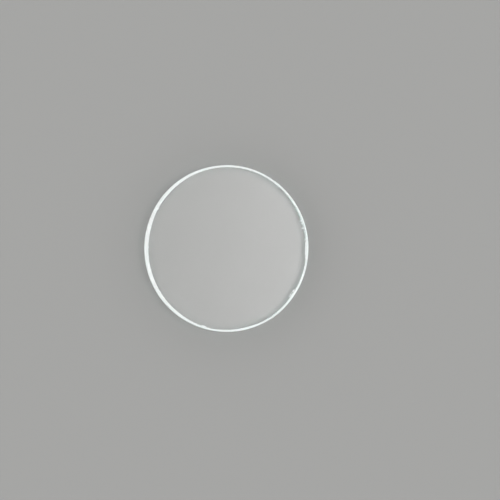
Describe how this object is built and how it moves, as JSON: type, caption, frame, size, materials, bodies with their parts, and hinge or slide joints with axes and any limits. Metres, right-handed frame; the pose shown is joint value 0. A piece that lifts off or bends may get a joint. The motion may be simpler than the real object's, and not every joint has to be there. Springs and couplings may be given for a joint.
{
  "type": "watch crystal",
  "caption": "Flat round watch crystal of clear mineral glass: polished faces, a ground rim and bevelled edges. It closes the front of a watch case over the dial.",
  "frame": {"origin": "centre of the underside, the face that looks at the dial", "axes": "+Z along the disc's own axis, out of the watch through the front face; X and Y lie across the disc, which is the same all round"},
  "size_m": [0.03, 0.03, 0.002],
  "materials": {
    "glass": "clear float glass with a slight green tint in its depth, both faces polished, rim and bevels finely ground to a pale frost"
  },
  "bodies": {
    "root": {"crystal": "glass"}
  },
  "joints": []
}
